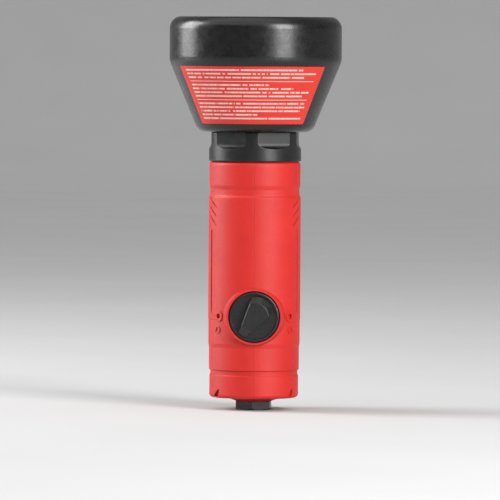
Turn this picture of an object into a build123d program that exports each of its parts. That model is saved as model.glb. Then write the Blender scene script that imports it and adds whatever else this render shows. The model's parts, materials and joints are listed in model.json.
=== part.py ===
from build123d import *

import os
from math import cos, radians, sin

os.makedirs("parts", exist_ok=True)

# Pneumatic in-line cut-off tool, millimetres.
# The air inlet's mouth is at the origin, +Z runs along the tool towards the
# cutting wheel, -Y is the side with the reversing dial and +Y the lever's side.

# Grip: a composite sleeve and end cap over an aluminium motor housing
SLEEVE_BORE_R = 19.5
CAP_R = 22.2
LOWER_R = 22.5
GRIP_R = 23.0
NECKLINE_R = 22.3
UPPER_R = 22.75
GROOVE_R = 21.8
CAP_BOSS_Z = 4.1
CAP_BASE_Z = 6.0
SPLIT_Z = 18.5
STEP_Z = 31.2
BAND_Z = 45.0
NECKLINE_Z = 106.0
SLEEVE_TOP_Z = 124.0
VENT_Z = 8.4
PANEL_ANGLE = 68.0
PANEL_LOW_Z = 48.5
PANEL_HIGH_Z = 90.0
RIB_ANGLE = 64.0
ARROW_ANGLE = 52.0
ARROW_Z = 40.2
ARROW_R = 1.6

# Motor housing and air motor
HOUSING_R = 19.4
HOUSING_BASE_Z = 12.0
HOUSING_TOP_Z = 123.5
MOTOR_BORE_R = 17.9
THREAD_R = 18.4
CHAMBER_Z = 61.0
REAR_PLATE_Z = 64.0
CYLINDER_Z = 72.0
CYLINDER_TOP_Z = 114.0
FRONT_PLATE_TOP_Z = 119.0
ROTOR_R = 13.0
CYLINDER_BORE_R = 14.2
CYLINDER_ECCENTRICITY = 1.1
VANE_COUNT = 5

# Air inlet
INLET_BORE_R = 5.7
INLET_BORE_DEPTH = 13.0
INLET_HEX_AF = 17.0
INLET_SHANK_R = 7.5
INLET_TOP_Z = 23.0
SCREEN_R = 5.0
SCREEN_Z = 13.5
SCREEN_SHEET = 0.5

# Throttle valve
THROTTLE_Z = 33.0
THROTTLE_BORE_R = 5.0
STEM_R = 1.6
SEAT_Y = 4.0
STEM_TIP_Y = 29.7

# Reversing valve and dial
DIAL_Z = 47.0
DIAL_R = 12.5
DIAL_POINTER_ANGLE = -35.0
DIAL_BACK_Y = -20.4
DIAL_FACE_Y = -24.6
DIAL_GRIP_Y = -29.2
BOSS_FACE_Y = -24.4
BOSS_R = 13.9
SPOOL_R = 6.0

# Lever and latch
PIVOT_Y = 26.5
PIVOT_Z = 23.0
LEVER_OPEN_ANGLE = 8.0
LEVER_HALF_WIDTH = 7.0
LEVER_WALL = 1.5
PIN_R = 1.5
LATCH_U = -0.5
LATCH_V = 22.0
LATCH_PIN_R = 1.0
LATCH_FOOT = 5.1

# Clamp nut and nose
NUT_R = 23.0
NUT_FLAT_R = 21.25
COLLAR_TOP_Z = 131.0
NUT_TOP_Z = 138.5
SPIGOT_R = 17.0
NOSE_R = 14.0
NOSE_TOP_Z = 166.5
FRONT_BEARING_Z = 156.5

# Guard
GUARD_R = 43.0
GUARD_SHEET = 2.0
GUARD_BACK_Z = 138.6
GUARD_BACK_R = 28.4
GUARD_SHOULDER_Z = 174.0
GUARD_TOP_Z = 196.0
GUARD_CORNER_Z = 194.5
GUARD_LIP_R = 38.6
GUARD_TURN = -4.0
LABEL_HALF_ANGLE = 58.0
LABEL_SHEET = 0.25

# Wheel and its mounting
WHEEL_R = 38.0
WHEEL_BORE_R = 4.76
WHEEL_Z = 181.7
WHEEL_THICKNESS = 1.6
FLANGE_R = 12.5
RUNNING_GAP = 0.05


def along_y(y, z):
    """Plane that faces +Y on the tool's axis."""
    return Plane(origin=(0, y, z), x_dir=(1, 0, 0), z_dir=(0, 1, 0))


def facing_front(y, z):
    """Plane that faces -Y, with its own y axis up."""
    return Plane(origin=(0, y, z), x_dir=(1, 0, 0), z_dir=(0, -1, 0))


def radial(angle, radius, z):
    """Plane that faces away from the axis, angle counted from -Y towards +X."""
    out = (sin(radians(angle)), -cos(radians(angle)), 0)
    across = (cos(radians(angle)), sin(radians(angle)), 0)
    return Plane(origin=(radius * out[0], radius * out[1], z), x_dir=across, z_dir=out)


def rod(radius, start, length, mode=Mode.ADD):
    """Round bar or hole that leaves a plane along its normal."""
    with BuildSketch(start) as section:
        Circle(radius)
    extrude(section.sketch, amount=length, mode=mode)


def turned(points, mode=Mode.ADD):
    """Solid of revolution from (radius, height, corner radius) points."""
    corners = [(r, z) for r, z, _ in points]
    rounds = [c for _, _, c in points]
    with BuildSketch(Plane.XZ) as profile:
        with BuildLine():
            FilletPolyline(*corners, radius=rounds, close=True)
        make_face()
    revolve(profile.sketch, axis=Axis.Z, mode=mode)


def ring(inner, outer, low, high):
    """Plain turned ring."""
    turned([(inner, low, 0), (outer, low, 0), (outer, high, 0), (inner, high, 0)])


def coil(radius, wire, start, direction, length, turns):
    """Compression spring along a direction."""
    with BuildLine() as route:
        Helix(pitch=length / turns, height=length, radius=radius, center=start, direction=direction)
    with BuildSketch(Plane(origin=route.line @ 0, z_dir=route.line % 0)) as section:
        Circle(wire)
    sweep(section.sketch, path=route.line, is_frenet=True)


def race(inner, outer, ball_circle, ball, low, width):
    """Bearing race with its ball groove."""
    ring(inner, outer, low, low + width)
    with BuildSketch(Plane.XZ) as groove:
        with Locations((ball_circle, low + width / 2)):
            Circle(ball + 0.1)
    revolve(groove.sketch, axis=Axis.Z, mode=Mode.SUBTRACT)


# ---------------------------------------------------------------- grip sleeve
with BuildPart() as grip_sleeve:
    turned(
        [
            (10.0, SPLIT_Z, 0),
            (GROOVE_R, SPLIT_Z, 0),
            (GROOVE_R, SPLIT_Z + 1.2, 0.2),
            (LOWER_R, SPLIT_Z + 1.5, 0.3),
            (LOWER_R, STEP_Z, 0.6),
            (GRIP_R - 0.15, STEP_Z + 2.0, 0.8),
            (GRIP_R - 0.15, BAND_Z, 0),
            (GRIP_R, BAND_Z + 0.15, 0),
            (GRIP_R, NECKLINE_Z, 0.6),
            (NECKLINE_R, NECKLINE_Z + 1.2, 0.8),
            (NECKLINE_R, NECKLINE_Z + 4.0, 2.0),
            (UPPER_R, NECKLINE_Z + 6.0, 2.0),
            (UPPER_R, SLEEVE_TOP_Z, 2.0),
            (10.0, SLEEVE_TOP_Z, 0),
        ]
    )
    # boss round the dial, with sloping sides
    with BuildSketch(facing_front(BOSS_FACE_Y, DIAL_Z)):
        Circle(BOSS_R)
    extrude(amount=-8, taper=-12)
    # ears for the lever's pin
    with BuildSketch(Plane.YZ.offset(LEVER_HALF_WIDTH + 0.3)):
        with BuildLine():
            Polyline(
                (15, 21), (22.6, 21), (PIVOT_Y, 19.2), (PIVOT_Y, 26.8), (21.8, 33), (15, 33), close=True
            )
        make_face()
        with Locations((PIVOT_Y, PIVOT_Z)):
            Circle(3.8)
    ear = extrude(amount=3.0)
    mirror(ear, about=Plane.YZ)
    # raised rings with a recessed dot each side of the dial
    for angle in (-50, 50):
        rod(2.7, radial(angle, GRIP_R - 1.5, DIAL_Z), 1.8)
        rod(1.3, radial(angle, GRIP_R - 0.7, DIAL_Z), 2, Mode.SUBTRACT)
    for side in (-1, 1):
        # groove that borders the side panel
        with BuildSketch(radial(side * PANEL_ANGLE, GRIP_R - 0.4, (PANEL_LOW_Z + PANEL_HIGH_Z) / 2)):
            SlotOverall(PANEL_HIGH_Z - PANEL_LOW_Z, 1.2, rotation=90)
        extrude(amount=2, mode=Mode.SUBTRACT)
        # three slanting thumb grooves above it
        with BuildSketch(radial(side * RIB_ANGLE, GRIP_R - 0.5, 99)):
            with Locations((0, -4.5), (0, 0), (0, 4.5)):
                SlotOverall(8, 0.9, rotation=35 * side)
        extrude(amount=2, mode=Mode.SUBTRACT)
        # raised arrow for the direction that the dial selects
        with BuildSketch(radial(side * ARROW_ANGLE, GRIP_R - 1, ARROW_Z)):
            Circle(ARROW_R + 0.3)
            Circle(ARROW_R - 0.3, mode=Mode.SUBTRACT)
            with Locations((side * ARROW_R, -ARROW_R)):
                Rectangle(2 * ARROW_R, 2 * ARROW_R, mode=Mode.SUBTRACT)
            with Locations((side * (ARROW_R + 0.1), 0)):
                RegularPolygon(1.1, 3, rotation=-90)
        extrude(amount=1.15)
    # bore, dial recess and the valve openings
    rod(SLEEVE_BORE_R, Plane.XY.offset(SPLIT_Z), SLEEVE_TOP_Z - SPLIT_Z, Mode.SUBTRACT)
    rod(DIAL_R + 0.4, facing_front(DIAL_BACK_Y + 0.2, DIAL_Z), 6, Mode.SUBTRACT)
    rod(SPOOL_R + 0.4, facing_front(-15, DIAL_Z), 8, Mode.SUBTRACT)
    rod(1.3, facing_front(-15, DIAL_Z + 9), 8, Mode.SUBTRACT)
    rod(3.0, along_y(15, THROTTLE_Z), 10, Mode.SUBTRACT)
    # pin hole through both ears
    rod(PIN_R, Plane(origin=(-12, PIVOT_Y, PIVOT_Z), z_dir=(1, 0, 0)), 24, Mode.SUBTRACT)
grip_sleeve.part.label = "grip_sleeve"
export_step(grip_sleeve.part, "parts/grip_sleeve.step")

# -------------------------------------------------------------------- end cap
with BuildPart() as end_cap:
    turned(
        [
            (7.7, CAP_BOSS_Z, 0),
            (8.8, CAP_BOSS_Z, 0.8),
            (14.5, CAP_BASE_Z, 2.0),
            (CAP_R, CAP_BASE_Z, 1.8),
            (CAP_R, SPLIT_Z - 1.3, 0.3),
            (GROOVE_R, SPLIT_Z - 1.0, 0.2),
            (GROOVE_R, SPLIT_Z, 0),
            (SLEEVE_BORE_R, SPLIT_Z, 0),
            (SLEEVE_BORE_R, HOUSING_BASE_Z, 0),
            (19.2, HOUSING_BASE_Z, 0),
            (19.2, 8.0, 0.5),
            (10.5, 8.0, 0.5),
            (10.5, HOUSING_BASE_Z, 0),
            (7.7, HOUSING_BASE_Z, 0),
        ]
    )
    # three-cornered hollows at the front, and exhaust vents through the wall elsewhere
    for angle in (-56, 56):
        with BuildSketch(radial(angle, CAP_R - 1.3, VENT_Z)) as hollow:
            Triangle(c=7.0, a=4.6, b=4.6)
            fillet(hollow.vertices(), 0.5)
        extrude(amount=3, mode=Mode.SUBTRACT)
    for angle in (100, 140, 180, 220, 260):
        with BuildSketch(radial(angle, 18, VENT_Z)) as vent:
            Triangle(c=4.2, a=3.4, b=3.4)
            fillet(vent.vertices(), 0.4)
        extrude(amount=6, mode=Mode.SUBTRACT)
end_cap.part.label = "end_cap"
export_step(end_cap.part, "parts/end_cap.step")

# --------------------------------------------------------------- muffler felt
with BuildPart() as muffler:
    ring(10.6, 18.4, 8.2, 11.9)
muffler.part.label = "muffler"
export_step(muffler.part, "parts/muffler.step")

# -------------------------------------------------------------- inlet bushing
with BuildPart() as inlet_bushing:
    with BuildSketch(Plane.XY):
        RegularPolygon(INLET_HEX_AF / 2, 6, major_radius=False, rotation=-35)
    extrude(amount=CAP_BOSS_Z)
    turned([(0, 0, 0), (9.0, 0, 0), (9.9, 0.9, 0), (9.9, 10, 0), (0, 10, 0)], Mode.INTERSECT)
    rod(INLET_SHANK_R, Plane.XY.offset(CAP_BOSS_Z), INLET_TOP_Z - CAP_BOSS_Z)
    rod(INLET_BORE_R, Plane.XY, INLET_BORE_DEPTH, Mode.SUBTRACT)
    rod(SCREEN_R, Plane.XY, SCREEN_Z + SCREEN_SHEET, Mode.SUBTRACT)
    rod(4.2, Plane.XY, INLET_TOP_Z, Mode.SUBTRACT)
inlet_bushing.part.label = "inlet_bushing"
export_step(inlet_bushing.part, "parts/inlet_bushing.step")

# --------------------------------------------------------------- inlet screen
with BuildPart() as inlet_screen:
    rod(SCREEN_R, Plane.XY.offset(SCREEN_Z), SCREEN_SHEET)
    with BuildSketch(Plane.XY.offset(SCREEN_Z)):
        with HexLocations(0.7, 5, 5):
            Circle(0.42)
    extrude(amount=SCREEN_SHEET, mode=Mode.SUBTRACT)
inlet_screen.part.label = "inlet_screen"
export_step(inlet_screen.part, "parts/inlet_screen.step")

# -------------------------------------------------------------- motor housing
with BuildPart() as motor_housing:
    turned(
        [
            (0, HOUSING_BASE_Z, 0),
            (HOUSING_R, HOUSING_BASE_Z, 0),
            (HOUSING_R, HOUSING_TOP_Z, 0),
            (THREAD_R, HOUSING_TOP_Z, 0),
            (THREAD_R, FRONT_PLATE_TOP_Z, 0),
            (MOTOR_BORE_R, FRONT_PLATE_TOP_Z, 0),
            (MOTOR_BORE_R, REAR_PLATE_Z, 0),
            (14.0, REAR_PLATE_Z, 0),
            (14.0, CHAMBER_Z, 0),
            (0, CHAMBER_Z, 0),
        ]
    )
    rod(INLET_SHANK_R, Plane.XY.offset(HOUSING_BASE_Z), INLET_TOP_Z - HOUSING_BASE_Z, Mode.SUBTRACT)
    rod(THROTTLE_BORE_R, along_y(-12, THROTTLE_Z), 40, Mode.SUBTRACT)
    rod(SPOOL_R + RUNNING_GAP, facing_front(13, DIAL_Z), 40, Mode.SUBTRACT)
    # air ways: inlet to throttle, throttle to spool, spool to motor, motor to muffler
    with BuildSketch(Plane.XY.offset(INLET_TOP_Z)):
        with Locations((0, -5)):
            Circle(2.2)
    extrude(amount=THROTTLE_Z - INLET_TOP_Z, mode=Mode.SUBTRACT)
    with BuildSketch(Plane.XY.offset(THROTTLE_Z)):
        with Locations((0, 9)):
            Circle(2.0)
    extrude(amount=DIAL_Z - THROTTLE_Z, mode=Mode.SUBTRACT)
    with BuildSketch(Plane.XY.offset(DIAL_Z)):
        with Locations((3.4, -2), (-3.4, -2)):
            Circle(1.7)
    extrude(amount=CHAMBER_Z - DIAL_Z, mode=Mode.SUBTRACT)
    with BuildSketch(Plane.XY.offset(HOUSING_BASE_Z)):
        with Locations((13.5, 0), (-13.5, 0)):
            Circle(2.4)
    extrude(amount=REAR_PLATE_Z - HOUSING_BASE_Z, mode=Mode.SUBTRACT)
    # cross hole for the dial's retaining pin, and the detent's pocket
    rod(1.0, Plane(origin=(-20, -12, DIAL_Z + 6.2), z_dir=(1, 0, 0)), 40, Mode.SUBTRACT)
    rod(1.3, facing_front(-13, DIAL_Z + 9), 10, Mode.SUBTRACT)
motor_housing.part.label = "motor_housing"
export_step(motor_housing.part, "parts/motor_housing.step")

# ------------------------------------------------------------- throttle valve
with BuildPart() as throttle_bush:
    rod(THROTTLE_BORE_R - RUNNING_GAP, along_y(SEAT_Y, THROTTLE_Z), 12.5)
    rod(2.6, along_y(SEAT_Y, THROTTLE_Z), 7.5, Mode.SUBTRACT)
    rod(STEM_R + RUNNING_GAP, along_y(SEAT_Y, THROTTLE_Z), 20, Mode.SUBTRACT)
    rod(3.2, along_y(14.9, THROTTLE_Z), 3, Mode.SUBTRACT)
    with BuildSketch(Plane.XY.offset(THROTTLE_Z - 6)):
        with Locations((0, 9)):
            Circle(1.5)
    extrude(amount=12, mode=Mode.SUBTRACT)
throttle_bush.part.label = "throttle_bush"
export_step(throttle_bush.part, "parts/throttle_bush.step")

with BuildPart() as throttle_o_ring:
    with BuildSketch(Plane(origin=(0, 15.65, THROTTLE_Z), x_dir=(0, 1, 0), z_dir=(1, 0, 0))):
        with Locations((0, 2.4)):
            Circle(0.7)
    revolve(axis=Axis((0, 0, THROTTLE_Z), (0, 1, 0)))
throttle_o_ring.part.label = "throttle_o_ring"
export_step(throttle_o_ring.part, "parts/throttle_o_ring.step")

with BuildPart() as throttle_stem:
    rod(STEM_R, along_y(2, THROTTLE_Z), STEM_TIP_Y - 2)
    fillet(throttle_stem.faces().sort_by(Axis.Y)[-1].edges(), 1.0)
    rod(3.6, along_y(SEAT_Y - 2.1, THROTTLE_Z), 2.08)
    rod(1.3, along_y(-2, THROTTLE_Z), 5)
throttle_stem.part.label = "throttle_stem"
export_step(throttle_stem.part, "parts/throttle_stem.step")

with BuildPart() as throttle_spring:
    coil(2.5, 0.35, (0, -11.5, THROTTLE_Z), (0, 1, 0), 13.0, 7)
throttle_spring.part.label = "throttle_spring"
export_step(throttle_spring.part, "parts/throttle_spring.step")

# ------------------------------------------------------------- throttle lever
# Its plane is drawn as if squeezed, x away from the grip and y along the tool,
# and stands open by the lever's travel.
lever_x = (0, cos(radians(LEVER_OPEN_ANGLE)), -sin(radians(LEVER_OPEN_ANGLE)))
lever_plane = Plane(origin=(0, PIVOT_Y, PIVOT_Z), x_dir=lever_x, z_dir=(1, 0, 0))
lever_top_plane = Plane(origin=(0, PIVOT_Y, PIVOT_Z), x_dir=(-1, 0, 0), z_dir=lever_x)

with BuildPart() as throttle_lever:
    with BuildSketch(lever_plane):
        with BuildLine():
            FilletPolyline(
                (-2.6, -3.2), (3.5, -3.2), (3.6, 60), (5.2, 74),
                (8.6, 82), (7.4, 83.2), (2.6, 78), (-2.6, 60),
                radius=[2.4, 2.0, 30, 14, 0.5, 0.5, 8, 12],
                close=True,
            )
        make_face()
    extrude(amount=LEVER_HALF_WIDTH, both=True)
    fillet(throttle_lever.faces().filter_by(Axis.X).edges(), 0.6)
    with BuildSketch(lever_plane):
        with BuildLine():
            FilletPolyline(
                (-8, -9), (2.0, -9), (2.1, 60), (1.2, 73), (-8, 73), radius=[0, 0.5, 20, 3, 0], close=True
            )
        make_face()
    extrude(amount=LEVER_HALF_WIDTH - LEVER_WALL, both=True, mode=Mode.SUBTRACT)
    # slot for the latch's tab
    with BuildSketch(lever_top_plane):
        with Locations((0, LATCH_V)):
            SlotOverall(15, 6.4, rotation=90)
    extrude(amount=12, mode=Mode.SUBTRACT)
    # pin holes
    with BuildSketch(lever_plane):
        Circle(PIN_R + RUNNING_GAP)
        with Locations((LATCH_U, LATCH_V)):
            Circle(LATCH_PIN_R)
    extrude(amount=20, both=True, mode=Mode.SUBTRACT)
throttle_lever.part.label = "throttle_lever"
export_step(throttle_lever.part, "parts/throttle_lever.step")

with BuildPart() as lever_pin:
    rod(PIN_R, Plane(origin=(-10.5, PIVOT_Y, PIVOT_Z), z_dir=(1, 0, 0)), 21)
    chamfer(lever_pin.edges().filter_by(GeomType.CIRCLE), 0.3)
lever_pin.part.label = "lever_pin"
export_step(lever_pin.part, "parts/lever_pin.step")

# --------------------------------------------------------------- lock-off latch
latch_origin = lever_plane.from_local_coords((LATCH_U, LATCH_V, 0))
latch_plane = Plane(origin=latch_origin, x_dir=(0, 1, 0), z_dir=(1, 0, 0))

with BuildPart() as lock_off_latch:
    with BuildSketch(latch_plane):
        Circle(2.0)
        with Locations((-LATCH_FOOT / 2, 0)):
            Rectangle(LATCH_FOOT, 1.6)
        with BuildLine():
            FilletPolyline(
                (0, 1), (5.5, -2.6), (9.2, -3.6), (9.6, -5.2), (4.8, -4.2), (0, -1), radius=0.4, close=True
            )
        make_face()
    extrude(amount=2.5, both=True)
    with BuildSketch(latch_plane):
        Circle(LATCH_PIN_R + RUNNING_GAP)
    extrude(amount=5, both=True, mode=Mode.SUBTRACT)
lock_off_latch.part.label = "lock_off_latch"
export_step(lock_off_latch.part, "parts/lock_off_latch.step")

with BuildPart() as latch_pin:
    with BuildSketch(latch_plane):
        Circle(LATCH_PIN_R)
    extrude(amount=LEVER_HALF_WIDTH, both=True)
latch_pin.part.label = "latch_pin"
export_step(latch_pin.part, "parts/latch_pin.step")

with BuildPart() as latch_spring:
    spring_start = latch_origin + Vector(3.0, 0, 0)
    coil(1.55, 0.25, spring_start, (1, 0, 0), 2.0, 3)
latch_spring.part.label = "latch_spring"
export_step(latch_spring.part, "parts/latch_spring.step")

# ------------------------------------------------------------ reversing dial
dial_axis = Axis((0, 0, DIAL_Z), (0, -1, 0))
pointer_turn = radians(DIAL_POINTER_ANGLE)
dial_plane = Plane(
    origin=(0, DIAL_FACE_Y, DIAL_Z), x_dir=(cos(pointer_turn), 0, sin(pointer_turn)), z_dir=(0, -1, 0)
)

with BuildPart() as reversing_dial:
    rod(DIAL_R, facing_front(DIAL_BACK_Y, DIAL_Z), DIAL_BACK_Y - DIAL_FACE_Y)
    fillet(reversing_dial.faces().sort_by(Axis.Y)[0].edges(), 0.8)
    # sunk field inside a narrow rim
    rod(DIAL_R - 1.3, facing_front(DIAL_FACE_Y + 1.2, DIAL_Z), 3, Mode.SUBTRACT)
    # wedge that is gripped, with its narrow end as the pointer
    with BuildSketch(dial_plane.offset(-2.5)) as wedge:
        with BuildLine():
            wedge_end = Polyline((-6.6, 7.6), (-1.9, -10.9), (1.9, -10.9), (6.6, 7.6))
            ThreePointArc(wedge_end @ 1, (0, 10.4), wedge_end @ 0)
        make_face()
    extrude(wedge.sketch, amount=DIAL_FACE_Y - DIAL_GRIP_Y + 2.5)
    # its broad end slopes down to the rim
    with BuildSketch(Plane.XY.offset(DIAL_Z)) as slope:
        with BuildLine():
            Polyline(
                (7.2, DIAL_GRIP_Y - 1), (7.2, DIAL_GRIP_Y), (11.4, DIAL_FACE_Y - 0.6), (14, DIAL_GRIP_Y - 1),
                close=True,
            )
        make_face()
    revolve(slope.sketch, axis=dial_axis, mode=Mode.SUBTRACT)
    fillet(reversing_dial.faces().sort_by(Axis.Y)[0].edges(), 0.5)
    # sockets for the spool and the detent ball
    rod(4.5, along_y(DIAL_BACK_Y - 2.6, DIAL_Z), 5, Mode.SUBTRACT)
reversing_dial.part.label = "reversing_dial"
export_step(reversing_dial.part, "parts/reversing_dial.step")

with BuildPart() as reversing_spool:
    rod(SPOOL_R, facing_front(11.5, DIAL_Z), 30.5)
    rod(4.5, facing_front(-18.9, DIAL_Z), 4.1)
    # groove for the retaining pin, and O-ring grooves
    for groove_y, depth, width in ((-12, 1.0, 2.4), (-15.6, 1.2, 1.6), (9.2, 1.2, 1.6)):
        with BuildSketch(facing_front(groove_y + width / 2, DIAL_Z)):
            Circle(SPOOL_R + 1)
            Circle(SPOOL_R - depth, mode=Mode.SUBTRACT)
        extrude(amount=width, mode=Mode.SUBTRACT)
    # flat cross port that sends air to one side of the motor or the other
    with BuildSketch(Plane.YZ.offset(-8)):
        with Locations((0, DIAL_Z)):
            Rectangle(9, 4.4)
    extrude(amount=16, mode=Mode.SUBTRACT)
reversing_spool.part.label = "reversing_spool"
export_step(reversing_spool.part, "parts/reversing_spool.step")

with BuildPart() as spool_o_rings:
    for groove_y in (-15.6, 9.2):
        with BuildSketch(Plane(origin=(0, groove_y, DIAL_Z), x_dir=(0, 1, 0), z_dir=(1, 0, 0))):
            with Locations((0, SPOOL_R - 0.6)):
                Circle(0.6)
        revolve(axis=dial_axis)
spool_o_rings.part.label = "spool_o_rings"
export_step(spool_o_rings.part, "parts/spool_o_rings.step")

with BuildPart() as dial_retaining_pin:
    rod(1.0, Plane(origin=(-14, -12, DIAL_Z + 6.2), z_dir=(1, 0, 0)), 28)
dial_retaining_pin.part.label = "dial_retaining_pin"
export_step(dial_retaining_pin.part, "parts/dial_retaining_pin.step")

with BuildPart() as detent_ball:
    with Locations((0, -19.1, DIAL_Z + 9)):
        Sphere(1.2)
detent_ball.part.label = "detent_ball"
export_step(detent_ball.part, "parts/detent_ball.step")

with BuildPart() as detent_spring:
    coil(0.9, 0.2, (0, -17.7, DIAL_Z + 9), (0, 1, 0), 4.3, 6)
detent_spring.part.label = "detent_spring"
export_step(detent_spring.part, "parts/detent_spring.step")

# ------------------------------------------------------------------ air motor
with BuildPart() as rear_end_plate:
    turned(
        [
            (9.5, REAR_PLATE_Z, 0),
            (MOTOR_BORE_R - 0.05, REAR_PLATE_Z, 0),
            (MOTOR_BORE_R - 0.05, CYLINDER_Z, 0),
            (3.3, CYLINDER_Z, 0),
            (3.3, REAR_PLATE_Z + 6, 0),
            (9.5, REAR_PLATE_Z + 6, 0),
        ]
    )
    with Locations((0, 0, CYLINDER_Z)):
        with PolarLocations(12.2, 2):
            Hole(1.6)
    with Locations((0, 16, CYLINDER_Z)):
        Hole(1.0, 2.5)
rear_end_plate.part.label = "rear_end_plate"
export_step(rear_end_plate.part, "parts/rear_end_plate.step")

with BuildPart() as motor_cylinder:
    rod(MOTOR_BORE_R - 0.05, Plane.XY.offset(CYLINDER_Z), CYLINDER_TOP_Z - CYLINDER_Z)
    with BuildSketch(Plane.XY.offset(CYLINDER_Z)):
        with Locations((0, -CYLINDER_ECCENTRICITY)):
            Circle(CYLINDER_BORE_R)
    extrude(amount=CYLINDER_TOP_Z - CYLINDER_Z, mode=Mode.SUBTRACT)
    with Locations((0, 16, CYLINDER_Z + 2.5)):
        Hole(1.0, 2.5)
    # exhaust slots on both sides
    for side in (-90, 90):
        with BuildSketch(radial(side, 10, (CYLINDER_Z + CYLINDER_TOP_Z) / 2)):
            with GridLocations(0, 6, 1, 5):
                Rectangle(5, 2)
        extrude(amount=10, mode=Mode.SUBTRACT)
motor_cylinder.part.label = "motor_cylinder"
export_step(motor_cylinder.part, "parts/motor_cylinder.step")

with BuildPart() as cylinder_dowel:
    with BuildSketch(Plane.XY.offset(CYLINDER_Z - 2.4)):
        with Locations((0, 16)):
            Circle(1.0)
    extrude(amount=4.8)
cylinder_dowel.part.label = "cylinder_dowel"
export_step(cylinder_dowel.part, "parts/cylinder_dowel.step")

with BuildPart() as front_end_plate:
    ring(5.0, MOTOR_BORE_R - 0.05, CYLINDER_TOP_Z, FRONT_PLATE_TOP_Z)
front_end_plate.part.label = "front_end_plate"
export_step(front_end_plate.part, "parts/front_end_plate.step")

with BuildPart() as rotor:
    turned(
        [
            (0, REAR_PLATE_Z + 0.3, 0),
            (3.0, REAR_PLATE_Z + 0.3, 0),
            (3.0, CYLINDER_Z + 0.1, 0),
            (ROTOR_R, CYLINDER_Z + 0.1, 0),
            (ROTOR_R, CYLINDER_TOP_Z - 0.1, 0),
            (4.0, CYLINDER_TOP_Z - 0.1, 0),
            (4.0, NOSE_TOP_Z + 0.5, 0),
            (6.0, NOSE_TOP_Z + 0.5, 0.5),
            (6.0, 177.5, 0),
            (4.0, 177.5, 0),
            (4.0, 183.0, 0),
            (0, 183.0, 0),
        ]
    )
    with BuildSketch(Plane.XY.offset(CYLINDER_Z)):
        with PolarLocations(10.5, VANE_COUNT):
            Rectangle(7, 1.7)
    extrude(amount=CYLINDER_TOP_Z - CYLINDER_Z, mode=Mode.SUBTRACT)
    # spanner flats on the spindle and the tapped hole in its end
    with BuildSketch(Plane.XY.offset(168.5)):
        with Locations((0, 8), (0, -8)):
            Rectangle(20, 6)
    extrude(amount=6.5, mode=Mode.SUBTRACT)
    rod(2.5, Plane.XY.offset(170), 15, Mode.SUBTRACT)
rotor.part.label = "rotor"
export_step(rotor.part, "parts/rotor.step")

with BuildPart() as rotor_vanes:
    with BuildSketch(Plane.XY.offset(CYLINDER_Z + 0.15)):
        with PolarLocations(9.95, VANE_COUNT):
            Rectangle(5.8, 1.5)
    extrude(amount=CYLINDER_TOP_Z - CYLINDER_Z - 0.3)
rotor_vanes.part.label = "rotor_vanes"
export_step(rotor_vanes.part, "parts/rotor_vanes.step")

# ------------------------------------------------------------------- bearings
with BuildPart() as rear_bearing_outer:
    race(7.6, 9.5, 6.25, 1.7, REAR_PLATE_Z, 6)
    with Locations((0, 0, REAR_PLATE_Z + 3)):
        with PolarLocations(6.25, 7):
            Sphere(1.7)
rear_bearing_outer.part.label = "rear_bearing_outer"
export_step(rear_bearing_outer.part, "parts/rear_bearing_outer.step")

with BuildPart() as rear_bearing_inner:
    race(3.0, 4.9, 6.25, 1.7, REAR_PLATE_Z + 0.3, 5.4)
rear_bearing_inner.part.label = "rear_bearing_inner"
export_step(rear_bearing_inner.part, "parts/rear_bearing_inner.step")

with BuildPart() as front_bearing_outer:
    race(8.9, 11.0, 7.5, 1.95, FRONT_BEARING_Z, 7)
    with Locations((0, 0, FRONT_BEARING_Z + 3.5)):
        with PolarLocations(7.5, 7):
            Sphere(1.95)
front_bearing_outer.part.label = "front_bearing_outer"
export_step(front_bearing_outer.part, "parts/front_bearing_outer.step")

with BuildPart() as front_bearing_inner:
    race(4.0, 6.1, 7.5, 1.95, FRONT_BEARING_Z, 7)
front_bearing_inner.part.label = "front_bearing_inner"
export_step(front_bearing_inner.part, "parts/front_bearing_inner.step")

# ----------------------------------------------------------------- clamp nut
with BuildPart() as clamp_nut:
    turned(
        [
            (12.0, FRONT_PLATE_TOP_Z, 0),
            (THREAD_R - 0.05, FRONT_PLATE_TOP_Z, 0),
            (THREAD_R - 0.05, SLEEVE_TOP_Z, 0),
            (NUT_R, SLEEVE_TOP_Z, 0.5),
            (NUT_R, NUT_TOP_Z, 0.5),
            (SPIGOT_R, NUT_TOP_Z, 0),
            (SPIGOT_R, 144.0, 0.5),
            (NOSE_R, 144.0, 0),
            (NOSE_R, NOSE_TOP_Z, 0.8),
            (11.0, NOSE_TOP_Z, 0),
            (11.0, FRONT_BEARING_Z, 0),
            (9.0, FRONT_BEARING_Z, 0),
            (9.0, 153.0, 0),
            (12.0, 150.0, 0),
        ]
    )
    # six spanner flats, each run out with the cutter's corner radius
    for angle in range(30, 390, 60):
        flat_frame = radial(angle + GUARD_TURN, 0, 0)
        across = flat_frame.x_dir
        with BuildSketch(Plane(origin=(0, 0, 0), x_dir=flat_frame.z_dir, z_dir=-across)):
            with BuildLine():
                FilletPolyline(
                    (NUT_FLAT_R, NUT_TOP_Z + 1),
                    (NUT_FLAT_R, COLLAR_TOP_Z - 1.2),
                    (NUT_R + 2, COLLAR_TOP_Z - 1.2),
                    (NUT_R + 2, NUT_TOP_Z + 1),
                    radius=[0, 3.4, 0, 0],
                    close=True,
                )
            make_face()
        extrude(amount=13, both=True, mode=Mode.SUBTRACT)
    # groove for the guard's snap ring
    ring_groove = [(16.2, 141.6, 0), (18, 141.6, 0), (18, 142.7, 0), (16.2, 142.7, 0)]
    turned(ring_groove, Mode.SUBTRACT)
    # groove for the bearing's snap ring
    turned([(10, 163.6, 0), (11.6, 163.6, 0), (11.6, 164.6, 0), (10, 164.6, 0)], Mode.SUBTRACT)
clamp_nut.part.label = "clamp_nut"
export_step(clamp_nut.part, "parts/clamp_nut.step")

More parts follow.
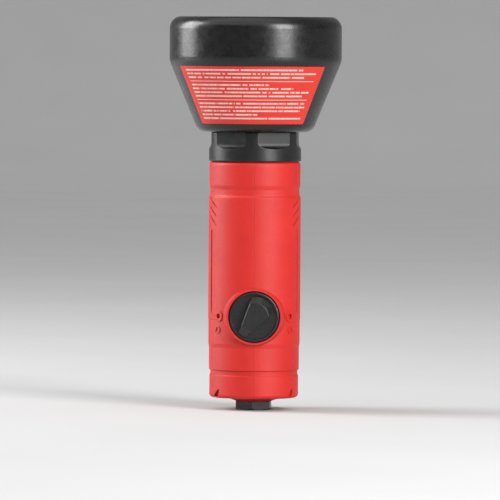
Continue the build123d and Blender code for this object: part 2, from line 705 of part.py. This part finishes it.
with BuildPart() as bearing_snap_ring:
    ring(9.6, 11.5, 163.6, 164.5)
    with BuildSketch(Plane.XY.offset(163)):
        with Locations((0, 10)):
            Rectangle(6, 8)
    extrude(amount=3, mode=Mode.SUBTRACT)
bearing_snap_ring.part.label = "bearing_snap_ring"
export_step(bearing_snap_ring.part, "parts/bearing_snap_ring.step")

with BuildPart() as nose_seal:
    ring(4.15, 11.0, 164.7, 166.3)
nose_seal.part.label = "nose_seal"
export_step(nose_seal.part, "parts/nose_seal.step")

# ---------------------------------------------------------------------- guard
cone_slope = (GUARD_R - GUARD_BACK_R) / (GUARD_SHOULDER_Z - GUARD_BACK_Z)
INNER_BACK_R = 27.06
INNER_SHOULDER_Z = 174.4

with BuildPart() as guard:
    turned(
        [
            (SPIGOT_R + 0.08, GUARD_BACK_Z, 0),
            (GUARD_BACK_R, GUARD_BACK_Z, 5.2),
            (GUARD_R, GUARD_SHOULDER_Z, 10.0),
            (GUARD_R, GUARD_CORNER_Z, 6.2),
            (GUARD_LIP_R, GUARD_TOP_Z, 0),
            (GUARD_LIP_R, GUARD_TOP_Z - GUARD_SHEET - 0.1, 0),
            (GUARD_R - GUARD_SHEET, GUARD_CORNER_Z - 1.42, 3.3),
            (GUARD_R - GUARD_SHEET, INNER_SHOULDER_Z, 8.0),
            (INNER_BACK_R, GUARD_BACK_Z + GUARD_SHEET, 3.2),
            (SPIGOT_R + 0.08, GUARD_BACK_Z + GUARD_SHEET, 0),
        ]
    )
    # the side that faces the work is cut away
    with BuildSketch(Plane.YZ):
        with BuildLine():
            FilletPolyline(
                (0.5, GUARD_TOP_Z + 6),
                (8, GUARD_TOP_Z - 7),
                (8, 172),
                (27, 144.5),
                (60, 144.5),
                (60, GUARD_TOP_Z + 6),
                radius=[0, 8, 12, 5, 0, 0],
                close=True,
            )
        make_face()
    extrude(amount=60, both=True, mode=Mode.SUBTRACT)
guard.part.label = "guard"
export_step(guard.part, "parts/guard.step")

with BuildPart() as guard_label:
    start_angle = radians(GUARD_TURN - LABEL_HALF_ANGLE)
    start_x = (sin(start_angle), -cos(start_angle), 0)
    start_z = (-cos(start_angle), -sin(start_angle), 0)
    low_z = 142.9
    high_z = 171.4
    low_r = GUARD_BACK_R + cone_slope * (low_z - GUARD_BACK_Z)
    high_r = GUARD_BACK_R + cone_slope * (high_z - GUARD_BACK_Z)
    with BuildSketch(Plane(origin=(0, 0, 0), x_dir=start_x, z_dir=start_z)):
        with BuildLine():
            Polyline(
                (low_r, low_z), (low_r + LABEL_SHEET, low_z),
                (high_r + LABEL_SHEET, high_z), (high_r, high_z),
                close=True,
            )
        make_face()
    revolve(axis=Axis.Z, revolution_arc=2 * LABEL_HALF_ANGLE)
guard_label.part.label = "guard_label"
export_step(guard_label.part, "parts/guard_label.step")

with BuildPart() as guard_wave_washer:
    ring(17.3, 22.0, 140.7, 141.5)
guard_wave_washer.part.label = "guard_wave_washer"
export_step(guard_wave_washer.part, "parts/guard_wave_washer.step")

with BuildPart() as guard_snap_ring:
    ring(16.3, 19.2, 141.6, 142.6)
    with BuildSketch(Plane.XY.offset(141)):
        with Locations((0, 18)):
            Rectangle(9, 8)
    extrude(amount=3, mode=Mode.SUBTRACT)
guard_snap_ring.part.label = "guard_snap_ring"
export_step(guard_snap_ring.part, "parts/guard_snap_ring.step")

# ------------------------------------------------------- wheel and its flanges
with BuildPart() as inner_flange:
    turned(
        [
            (4.0, 177.5, 0),
            (FLANGE_R - 3, 177.5, 0),
            (FLANGE_R, 179.5, 0),
            (FLANGE_R, WHEEL_Z, 0),
            (WHEEL_BORE_R - 0.04, WHEEL_Z, 0),
            (WHEEL_BORE_R - 0.04, WHEEL_Z + 1.3, 0),
            (4.0, WHEEL_Z + 1.3, 0),
        ]
    )
inner_flange.part.label = "inner_flange"
export_step(inner_flange.part, "parts/inner_flange.step")

with BuildPart() as cutting_wheel:
    ring(WHEEL_BORE_R, WHEEL_R, WHEEL_Z, WHEEL_Z + WHEEL_THICKNESS)
cutting_wheel.part.label = "cutting_wheel"
export_step(cutting_wheel.part, "parts/cutting_wheel.step")

with BuildPart() as outer_flange:
    turned(
        [
            (3.1, WHEEL_Z + WHEEL_THICKNESS, 0),
            (FLANGE_R, WHEEL_Z + WHEEL_THICKNESS, 0),
            (FLANGE_R, WHEEL_Z + WHEEL_THICKNESS + 1.6, 0.3),
            (8.0, WHEEL_Z + WHEEL_THICKNESS + 2.7, 0.3),
            (3.1, WHEEL_Z + WHEEL_THICKNESS + 2.7, 0),
        ]
    )
outer_flange.part.label = "outer_flange"
export_step(outer_flange.part, "parts/outer_flange.step")

with BuildPart() as arbor_screw:
    rod(2.5, Plane.XY.offset(172), 14)
    rod(5.0, Plane.XY.offset(186.0), 4.5)
    fillet(arbor_screw.faces().sort_by(Axis.Z)[-1].edges(), 0.5)
    with BuildSketch(Plane.XY.offset(188.0)):
        RegularPolygon(2.5, 6, major_radius=False)
    extrude(amount=5, mode=Mode.SUBTRACT)
arbor_screw.part.label = "arbor_screw"
export_step(arbor_screw.part, "parts/arbor_screw.step")
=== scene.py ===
import json
import math

import bmesh
import bpy
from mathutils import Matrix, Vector


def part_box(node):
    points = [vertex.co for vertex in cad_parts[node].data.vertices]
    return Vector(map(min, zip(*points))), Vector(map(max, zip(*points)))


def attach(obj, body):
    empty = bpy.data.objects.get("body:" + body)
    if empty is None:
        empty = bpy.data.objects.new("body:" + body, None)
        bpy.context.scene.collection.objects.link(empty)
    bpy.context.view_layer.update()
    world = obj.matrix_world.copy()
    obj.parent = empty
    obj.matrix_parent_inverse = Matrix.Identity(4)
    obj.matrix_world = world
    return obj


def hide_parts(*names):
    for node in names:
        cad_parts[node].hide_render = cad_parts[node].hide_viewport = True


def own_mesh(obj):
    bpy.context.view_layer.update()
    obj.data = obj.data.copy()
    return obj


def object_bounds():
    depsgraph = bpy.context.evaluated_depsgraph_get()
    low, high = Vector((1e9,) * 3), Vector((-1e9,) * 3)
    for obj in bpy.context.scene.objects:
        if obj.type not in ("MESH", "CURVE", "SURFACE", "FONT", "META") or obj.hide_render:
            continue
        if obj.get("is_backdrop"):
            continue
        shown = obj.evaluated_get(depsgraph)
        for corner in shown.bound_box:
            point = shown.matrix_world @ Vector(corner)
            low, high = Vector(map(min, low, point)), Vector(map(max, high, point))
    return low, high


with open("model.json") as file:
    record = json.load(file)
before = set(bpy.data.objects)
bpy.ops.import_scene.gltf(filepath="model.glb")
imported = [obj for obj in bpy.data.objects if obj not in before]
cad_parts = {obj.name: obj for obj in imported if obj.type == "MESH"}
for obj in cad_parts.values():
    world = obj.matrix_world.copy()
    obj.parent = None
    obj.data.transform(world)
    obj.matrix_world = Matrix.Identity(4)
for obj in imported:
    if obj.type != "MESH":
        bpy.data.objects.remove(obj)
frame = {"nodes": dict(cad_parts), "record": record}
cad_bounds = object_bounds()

# Looks for the pneumatic cut-off tool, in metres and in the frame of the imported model:
# +Z runs along the tool to the wheel, -Y is the dial's side and +Y the lever's.
nodes = frame["nodes"]
MM = 0.001


def placed(name, data):
    """New object in the scene."""
    thing = bpy.data.objects.new(name, data)
    bpy.context.scene.collection.objects.link(thing)
    return thing


def placed_mesh(name, mesh):
    """New mesh object in the scene; the working mesh is used up."""
    data = bpy.data.meshes.new(name)
    mesh.to_mesh(data)
    mesh.free()
    return placed(name, data)


# ---------------------------------------------------------------- materials
NOISE_RANGE = (0.3, 0.7)
EDGE_ROUND = 0.25 * MM


class Finish:
    """A Principled material, with short ways to wire procedural detail into it."""

    def __init__(self, name, roughness, metallic=0.0, **sockets):
        self.name = name
        self.material = bpy.data.materials.new(name)
        self.material.use_nodes = True
        self.tree = self.material.node_tree
        self.shader = self.tree.nodes["Principled BSDF"]
        self.set("Roughness", roughness)
        self.set("Metallic", metallic)
        for key, value in sockets.items():
            self.set(key.replace("_", " "), value)
        self.place = self.node("ShaderNodeTexCoord").outputs["Object"]

    def set(self, socket, value):
        self.shader.inputs[socket].default_value = value

    def node(self, kind, **settings):
        made = self.tree.nodes.new(kind)
        for key, value in settings.items():
            setattr(made, key, value)
        return made

    def link(self, source, target):
        self.tree.links.new(source, target)

    def stretched(self, scale):
        """Object coordinates scaled differently along each axis, for brushing and grain."""
        mapping = self.node("ShaderNodeMapping")
        mapping.inputs["Scale"].default_value = scale
        self.link(self.place, mapping.inputs["Vector"])
        return mapping.outputs["Vector"]

    def apart(self, vector):
        """Node that splits a vector into X, Y and Z."""
        split = self.node("ShaderNodeSeparateXYZ")
        self.link(vector, split.inputs["Vector"])
        return split

    def noise(self, scale, detail, roughness=0.5, where=None):
        made = self.node("ShaderNodeTexNoise")
        made.inputs["Scale"].default_value = scale
        made.inputs["Detail"].default_value = detail
        made.inputs["Roughness"].default_value = roughness
        self.link(where or self.place, made.inputs["Vector"])
        return made.outputs["Fac"]

    def grains(self, scale):
        """Distance to the nearest grain's centre."""
        made = self.node("ShaderNodeTexVoronoi")
        made.inputs["Scale"].default_value = scale
        self.link(self.place, made.inputs["Vector"])
        return made.outputs["Distance"]

    def ramp(self, value, *stops):
        """Colours along a value: (position, colour) pairs."""
        made = self.node("ShaderNodeValToRGB")
        elements = made.color_ramp.elements
        while len(elements) < len(stops):
            elements.new(0.5)
        for element, (position, colour) in zip(elements, stops):
            element.position = position
            element.color = (*colour, 1.0)
        self.link(value, made.inputs["Fac"])
        return made.outputs["Color"]

    def clouds(self, noise, dark, light):
        """Two colours across the usual range of a noise."""
        return self.ramp(noise, *zip(NOISE_RANGE, (dark, light)))

    def levels(self, value, low, high, out_low, out_high):
        """Maps low..high to out_low..out_high, held at both ends."""
        made = self.node("ShaderNodeMapRange", clamp=True)
        ends = {"From Min": low, "From Max": high, "To Min": out_low, "To Max": out_high}
        for socket, number in ends.items():
            made.inputs[socket].default_value = number
        self.link(value, made.inputs["Value"])
        return made.outputs["Result"]

    def spread(self, noise, low, high):
        """Maps the usual range of a noise to low..high."""
        return self.levels(noise, *NOISE_RANGE, low, high)

    def math(self, operation, a, b=0.0):
        made = self.node("ShaderNodeMath", operation=operation)
        for socket, value in zip(made.inputs, (a, b)):
            if isinstance(value, (int, float)):
                socket.default_value = value
            else:
                self.link(value, socket)
        return made.outputs["Value"]

    def product(self, *factors):
        """All factors multiplied, one after another."""
        total = factors[0]
        for factor in factors[1:]:
            total = self.math("MULTIPLY", total, factor)
        return total

    def mix(self, share, first, second):
        """Colour between two, by a share from 0 to 1."""
        made = self.node("ShaderNodeMix", data_type="RGBA")
        self.link(share, made.inputs["Factor"])
        for socket, value in ((made.inputs[6], first), (made.inputs[7], second)):
            if isinstance(value, tuple):
                socket.default_value = (*value, 1.0)
            else:
                self.link(value, socket)
        return made.outputs[2]

    def soft_normal(self, radius):
        """Normal that is rounded over sharp edges, as far as the radius."""
        made = self.node("ShaderNodeBevel", samples=4)
        made.inputs["Radius"].default_value = radius
        return made.outputs["Normal"]

    def worn_edges(self):
        """Share of wear: where the rounded normal leaves the true one, broken up by noise."""
        reach, full_wear, no_wear, patch_scale = 0.5 * MM, 0.80, 0.97, 900
        turned = self.node("ShaderNodeVectorMath", operation="DOT_PRODUCT")
        self.link(self.soft_normal(reach), turned.inputs[0])
        self.link(self.node("ShaderNodeNewGeometry").outputs["Normal"], turned.inputs[1])
        edge = self.levels(turned.outputs["Value"], full_wear, no_wear, 1.0, 0.0)
        return self.product(edge, self.levels(self.noise(patch_scale, 4), 0.42, 0.62, 0.0, 1.0))

    def colour(self, source):
        self.link(source, self.shader.inputs["Base Color"])

    def rough(self, source):
        self.link(source, self.shader.inputs["Roughness"])

    def bump(self, *layers):
        """Layers of (height, depth in metres), each on the one before, over slightly rounded edges."""
        below = self.soft_normal(EDGE_ROUND)
        for height, depth in layers:
            made = self.node("ShaderNodeBump")
            made.inputs["Distance"].default_value = depth
            made.inputs["Strength"].default_value = 1.0
            self.link(height, made.inputs["Height"])
            self.link(below, made.inputs["Normal"])
            below = made.outputs["Normal"]
        self.link(below, self.shader.inputs["Normal"])


PARTING_X = -0.3 * MM
PARTING_WIDTH = (0.05 * MM, 0.18 * MM)
PARTING_DEPTH = 0.10 * MM
MOULD_DEPTH = 0.10 * MM


def red_composite():
    """Moulded glass-filled nylon with a parting line down the front and back."""
    finish = Finish("red_composite", roughness=0.5, Specular_IOR_Level=0.42)
    texture = finish.noise(2600, 2, 0.6)
    finish.colour(finish.clouds(finish.noise(60, 4), (0.47, 0.009, 0.006), (0.53, 0.013, 0.008)))
    finish.rough(finish.spread(finish.noise(700, 3), 0.42, 0.58))
    x = finish.apart(finish.place).outputs["X"]
    off_line = finish.math("ABSOLUTE", finish.math("SUBTRACT", x, PARTING_X))
    line = finish.levels(off_line, *PARTING_WIDTH, 0.0, 1.0)
    finish.bump((line, PARTING_DEPTH), (texture, MOULD_DEPTH))
    return finish


def shade(colour, factor):
    """The colour made darker or lighter by a factor."""
    return tuple(min(1.0, part * factor) for part in colour)


def black_metal(name, colour, rough, grain):
    """Black-finished steel with faint orange peel and bright wear on its edges."""
    finish = Finish(name, roughness=rough, Specular_IOR_Level=0.5)
    base = finish.clouds(finish.noise(45, 4), shade(colour, 0.8), shade(colour, 1.25))
    bare = (0.11, 0.105, 0.10)
    finish.colour(finish.mix(finish.worn_edges(), base, bare))
    finish.rough(finish.spread(finish.noise(260, 5, 0.6), rough - 0.06, rough + 0.07))
    finish.bump((finish.noise(grain, 3), 0.02 * MM))
    return finish


def brushed(name, colour, rough, stretch, tint=0.12):
    """Bare metal with turning or brushing marks along the stretch."""
    finish = Finish(name, roughness=rough, metallic=1.0)
    lines = finish.noise(1.0, 4, 0.6, finish.stretched(stretch))
    stain = finish.levels(finish.noise(130, 4), 0.35, 0.7, 0.0, 1.0)
    finish.colour(finish.mix(stain, colour, shade(colour, 1 - 2 * tint)))
    finish.rough(finish.spread(lines, rough - 0.1, rough + 0.14))
    finish.bump((lines, 0.012 * MM))
    return finish


def grit():
    """Resin-bonded abrasive: grains in a dark binder, with a few painted glints, where bright grey colour
    stands in for light caught by the faces of the grains.
    """
    finish = Finish("abrasive", roughness=0.9, Specular_IOR_Level=0.3)
    cells = finish.grains(1500)
    grain, binder, rim = (0.055, 0.05, 0.046), (0.02, 0.018, 0.017), (0.10, 0.095, 0.09)
    tone = finish.ramp(cells, (0.1, grain), (0.45, binder), (0.8, rim))
    # painted glints: a light grey base colour on a few noise spots stands in for light glinting off grain
    # faces
    painted_glint = finish.levels(finish.noise(2400, 2), 0.66, 0.72, 0.0, 1.0)
    glint_colour = (0.32, 0.31, 0.30)
    finish.colour(finish.mix(painted_glint, tone, glint_colour))
    finish.rough(finish.levels(cells, 0.1, 0.7, 0.7, 0.98))
    finish.bump((cells, 0.12 * MM), (finish.noise(900, 3), 0.08 * MM))
    return finish


def plain_moulded(name, colour, rough, grain=1800, depth=0.02 * MM):
    """Plastic or rubber with a fine mould texture."""
    finish = Finish(name, roughness=rough)
    finish.colour(finish.clouds(finish.noise(90, 3), shade(colour, 0.85), shade(colour, 1.15)))
    finish.rough(finish.spread(finish.noise(400, 4), rough - 0.06, rough + 0.08))
    finish.bump((finish.noise(grain, 2), depth))
    return finish


# The label's height holds this many rows, the first one this far up from its lower edge.
LABEL_ROWS = 15.49
LABEL_FIRST_ROW = 1.52
LABEL_LAST_ROW = 13
LABEL_RULE_EVERY = 5.0
LABEL_WORD_NOISE = 46.0
LABEL_ROW_JUMP = 7.31
LABEL_MARGIN = 0.055
LABEL_RULE_REACH = 0.44
LABEL_INK = (0.72, 0.64, 0.60)


def printed_film():
    """Red label film with stand-in print: plain dashes in three blocks with a rule between them."""
    finish = Finish("label_red", roughness=0.42, Specular_IOR_Level=0.4)
    split = finish.apart(finish.node("ShaderNodeUVMap", uv_map="film").outputs["UV"])
    across = split.outputs["X"]
    height = finish.math("SUBTRACT", finish.product(split.outputs["Y"], LABEL_ROWS), LABEL_FIRST_ROW)
    row = finish.math("ROUND", height)
    off_row = finish.math("ABSOLUTE", finish.math("SUBTRACT", height, row))

    # a rule takes the place of every fifth row, and stops short of the label's sides; rows below
    # the first are negative, so the count is lifted above zero before its remainder is taken
    lifted = finish.math("ADD", row, 4.0 * LABEL_RULE_EVERY)
    counted = finish.math("MODULO", lifted, LABEL_RULE_EVERY)
    is_rule = finish.product(finish.math("LESS_THAN", counted, 0.5), finish.math("GREATER_THAN", row, 1.0))
    off_middle = finish.math("ABSOLUTE", finish.math("SUBTRACT", across, 0.5))
    rule_line = finish.levels(off_row, 0.05, 0.10, 0.8, 0.0)
    rule = finish.product(is_rule, rule_line, finish.math("LESS_THAN", off_middle, LABEL_RULE_REACH))

    # dashes of uneven length and weight, and a line's end that differs from row to row
    where = finish.node("ShaderNodeCombineXYZ")
    finish.link(finish.product(across, LABEL_WORD_NOISE), where.inputs["X"])
    finish.link(finish.product(row, LABEL_ROW_JUMP), where.inputs["Y"])
    words = finish.levels(finish.noise(1.0, 1, 0.5, where.outputs["Vector"]), 0.36, 0.40, 0.0, 1.0)
    strokes = finish.levels(finish.noise(7.0, 1, 0.5, where.outputs["Vector"]), 0.34, 0.56, 0.25, 1.0)
    ends = finish.node("ShaderNodeTexWhiteNoise", noise_dimensions="1D")
    finish.link(finish.math("ADD", row, 3.0), ends.inputs["W"])
    line_end = finish.levels(ends.outputs["Value"], 0.0, 0.6, 0.55, 0.94)
    dash = finish.product(
        finish.levels(off_row, 0.15, 0.27, 0.85, 0.0),
        finish.product(words, strokes),
        finish.math("GREATER_THAN", across, LABEL_MARGIN),
        finish.math("LESS_THAN", across, line_end),
        finish.math("LESS_THAN", is_rule, 0.5),
        finish.math("GREATER_THAN", height, -0.5),
        finish.math("LESS_THAN", height, LABEL_LAST_ROW + 0.5),
    )
    ink = finish.math("MAXIMUM", dash, rule)
    film = finish.clouds(finish.noise(40, 3), (0.53, 0.023, 0.013), (0.59, 0.030, 0.017))
    finish.colour(finish.mix(ink, film, LABEL_INK))
    finish.rough(finish.spread(finish.noise(500, 4), 0.36, 0.5))
    finish.bump((finish.noise(120, 3), 0.02 * MM), (ink, 0.01 * MM))
    return finish


def felted():
    """Matted fibres."""
    finish = Finish("felt", roughness=0.95, Sheen_Weight=0.4)
    fibres = finish.noise(1.0, 5, 0.7, finish.stretched((900, 2600, 900)))
    finish.colour(finish.clouds(fibres, (0.25, 0.25, 0.24), (0.46, 0.46, 0.44)))
    finish.bump((fibres, 0.2 * MM))
    return finish


# One finish for each material slot of the record.
FINISHES = {finish.name: finish.material for finish in (
    red_composite(),
    black_metal("black_satin", (0.004, 0.004, 0.004), 0.34, 700),
    black_metal("black_gloss", (0.003, 0.003, 0.003), 0.28, 500),
    black_metal("black_lever", (0.014, 0.014, 0.014), 0.36, 800),
    printed_film(),
    plain_moulded("dial_black", (0.008, 0.008, 0.008), 0.3, 1500, 0.015 * MM),
    black_metal("gunmetal", (0.022, 0.021, 0.021), 0.3, 900),
    brushed("zinc_steel", (0.62, 0.61, 0.57), 0.3, (400, 400, 3000)),
    brushed("spring_steel", (0.34, 0.34, 0.35), 0.32, (1200, 1200, 1200)),
    brushed("bearing_steel", (0.72, 0.72, 0.72), 0.18, (60, 60, 2400), 0.05),
    brushed("aluminium", (0.74, 0.74, 0.75), 0.34, (90, 90, 3500)),
    brushed("machined_steel", (0.52, 0.52, 0.53), 0.28, (80, 80, 3200)),
    brushed("brass", (0.76, 0.57, 0.27), 0.28, (3000, 90, 90)),
    plain_moulded("valve_plastic", (0.80, 0.80, 0.77), 0.4),
    plain_moulded("rubber", (0.025, 0.025, 0.025), 0.7, 2500, 0.03 * MM),
    felted(),
    brushed("screen_steel", (0.6, 0.6, 0.6), 0.35, (2500, 600, 600)),
    plain_moulded("vane_composite", (0.30, 0.16, 0.08), 0.55, 1600, 0.04 * MM),
    grit(),
)}

for piece in frame["record"]["subparts"]:
    slots = nodes[piece["node"]].data.materials
    slots.clear()
    slots.append(FINISHES[piece["material_slot"]])


# ---------------------------------------------------------- throttle's spring
def shorten_spring():
    """Gives the spring its own copy of its mesh."""
    spring = nodes["throttle_spring"]
    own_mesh(spring)


shorten_spring()


# -------------------------------------------------------------- guard's label
LABEL_TURN = -4.2
LABEL_HALF_ANGLES = (55.5, 59.0)
LABEL_CORNER = 0.6 * MM
LABEL_LIFTS = (0.02 * MM, 0.2 * MM)
LABEL_COLUMNS = 96
LABEL_STRIPS = 16


def label_cone():
    """Height and radius at the two ends of the cone that the label lies on."""
    low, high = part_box("guard_label")
    ends = []
    for height in (low.z, high.z):
        rim = [v.co for v in nodes["guard_label"].data.vertices if abs(v.co.z - height) < 0.01 * MM]
        ends += [height, min(math.hypot(place.x, place.y) for place in rim)]
    return ends


def label_share(strip):
    """Share of the label's height at a strip's edge: strips are narrower towards both ends."""
    return (1 - math.cos(math.pi * strip / LABEL_STRIPS)) / 2


def corner_inset(to_end):
    """How far a rounded corner draws the side in, at a distance from the label's end."""
    if to_end >= LABEL_CORNER:
        return 0.0
    return LABEL_CORNER - math.sqrt(LABEL_CORNER ** 2 - (LABEL_CORNER - to_end) ** 2)


def label_grids(mesh):
    """Vertices of the film's inner and outer side, a list of strips for each."""
    low_z, low_r, high_z, high_r = label_cone()
    slope = math.atan2(high_r - low_r, high_z - low_z)
    length = math.hypot(high_r - low_r, high_z - low_z)
    low_half, high_half = LABEL_HALF_ANGLES

    def vertex(angle, along, lift):
        radius = low_r + along * math.sin(slope) + lift * math.cos(slope)
        turn = math.radians(angle + LABEL_TURN)
        height = low_z + along * math.cos(slope) - lift * math.sin(slope)
        return mesh.verts.new((radius * math.sin(turn), -radius * math.cos(turn), height))

    grids = []
    for lift in LABEL_LIFTS:
        grid = []
        for strip in range(LABEL_STRIPS + 1):
            along = length * label_share(strip)
            inset = corner_inset(min(along, length - along))
            radius = low_r + along * math.sin(slope)
            half = low_half + (high_half - low_half) * along / length - math.degrees(inset / radius)
            shares = [2 * column / LABEL_COLUMNS - 1 for column in range(LABEL_COLUMNS + 1)]
            grid.append([vertex(half * share, along, lift) for share in shares])
        grids.append(grid)
    return grids


def make_label():
    """Film with rounded corners that follows the cone, closed all round."""
    mesh = bmesh.new()
    inside, outside = label_grids(mesh)
    columns, strips = LABEL_COLUMNS, LABEL_STRIPS
    for r in range(strips):
        for c in range(columns):
            for grid, order in ((outside, 1), (inside, -1)):
                corners = [grid[r][c], grid[r][c + 1], grid[r + 1][c + 1], grid[r + 1][c]]
                mesh.faces.new(corners[::order])
    around = [(0, c) for c in range(columns)] + [(r, columns) for r in range(strips)]
    around += [(strips, c) for c in range(columns, 0, -1)] + [(r, 0) for r in range(strips, 0, -1)]
    for (r, c), (s, d) in zip(around, around[1:] + around[:1]):
        mesh.faces.new([inside[r][c], inside[s][d], outside[s][d], outside[r][c]])
    bmesh.ops.recalc_face_normals(mesh, faces=mesh.faces)
    film_map = mesh.loops.layers.uv.new("film")
    for grid in (inside, outside):
        for r, line in enumerate(grid):
            for c, vertex in enumerate(line):
                for loop in vertex.link_loops:
                    loop[film_map].uv = (c / columns, label_share(r))
    film = placed_mesh("label_film", mesh)
    film.data.materials.append(FINISHES["label_red"])
    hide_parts("guard_label")
    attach(film, "guard")


make_label()


# ------------------------------------------------------------ floor and light
FLOOR_REACH = 4.6
FLOOR_BEND = 1.5
FLOOR_BEND_STEPS = 16
FLOOR_TURN_STEPS = 96
FLOOR_GAP = 0.2 * MM
TOOL_MIDDLE = (0, 0, 0.1)


def pale_floor():
    """Round floor just under the tool that curves up into a low wall on every side."""
    profile = [(0.0, 0.0), (FLOOR_REACH, 0.0)]
    for step in range(1, FLOOR_BEND_STEPS + 1):
        turn = math.radians(90 * step / FLOOR_BEND_STEPS)
        profile.append((FLOOR_REACH + FLOOR_BEND * math.sin(turn), FLOOR_BEND * (1 - math.cos(turn))))
    profile.append((FLOOR_REACH + FLOOR_BEND, 2 * FLOOR_BEND))
    mesh = bmesh.new()
    line = [mesh.verts.new((radius, 0, height)) for radius, height in profile]
    outline = line + [mesh.edges.new(pair) for pair in zip(line, line[1:])]
    bmesh.ops.spin(
        mesh, geom=outline, axis=(0, 0, 1), cent=(0, 0, 0), angle=2 * math.pi, steps=FLOOR_TURN_STEPS
    )
    bmesh.ops.remove_doubles(mesh, verts=mesh.verts, dist=MM)
    for face in mesh.faces:
        face.smooth = True
    ground = placed_mesh("floor", mesh)
    ground.location = (0, 0, cad_bounds[0].z - FLOOR_GAP)
    finish = Finish("floor", roughness=0.9)
    finish.colour(finish.clouds(finish.noise(6, 2), (0.50, 0.50, 0.50), (0.52, 0.52, 0.52)))
    ground.data.materials.append(finish.material)
    ground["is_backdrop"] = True


def facing(place, aim):
    """Rotation that points a lamp or camera at the aim, its top upwards."""
    return (Vector(aim) - Vector(place)).to_track_quat("-Z", "Y").to_euler()


def strip_light(name, turn, distance, height, size, power):
    """Upright softbox at an angle round the tool, counted from the front towards +X."""
    data = bpy.data.lights.new(name, "AREA")
    data.shape = "RECTANGLE"
    data.size, data.size_y = size
    data.energy = power
    angle = math.radians(turn)
    place = (distance * math.sin(angle), -distance * math.cos(angle), height)
    lamp = placed(name, data)
    lamp.location = place
    lamp.rotation_euler = facing(place, TOOL_MIDDLE)


def soft_sun(direction, angle, power):
    """Even light from above, so wide that its shadows stay soft."""
    data = bpy.data.lights.new("soft_sun", "SUN")
    data.energy = power
    data.angle = math.radians(angle)
    placed("soft_sun", data).rotation_euler = facing((0, 0, 0), direction)


def grey_surroundings(strength):
    """The same faint light from every direction."""
    world = bpy.data.worlds.new("studio")
    world.use_nodes = True
    fill = world.node_tree.nodes["Background"]
    fill.inputs["Color"].default_value = (1, 1, 1, 1)
    fill.inputs["Strength"].default_value = strength
    bpy.context.scene.world = world


def camera(target, elevation, distance, field, roll):
    """Long lens almost level with the tool: field is the width seen at the target, in metres."""
    data = bpy.data.cameras.new("camera")
    data.lens = data.sensor_width * distance / field
    data.clip_end = 50
    rise = math.radians(elevation)
    eye = placed("camera", data)
    eye.location = Vector(target) + distance * Vector((0, -math.cos(rise), math.sin(rise)))
    eye.rotation_euler = facing(eye.location, target)
    eye.rotation_euler.rotate_axis("Z", math.radians(roll))
    bpy.context.scene.camera = eye


pale_floor()
grey_surroundings(0.28)
soft_sun(direction=(0.2, 0.3, -1.0), angle=80, power=1.3)
strip_light("left_strip", turn=-102, distance=1.3, height=0.64, size=(0.7, 1.0), power=26)
strip_light("right_strip", turn=38, distance=1.4, height=0.64, size=(0.58, 1.0), power=28)
camera(target=(-0.00225, 0, 0.0795), elevation=2.0, distance=3.0, field=0.25, roll=0.35)
bpy.context.scene.view_settings.view_transform = "Standard"

size = {"cad": cad_bounds, "visual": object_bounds()}
size = {name: [list(corner) for corner in corners] for name, corners in size.items()}
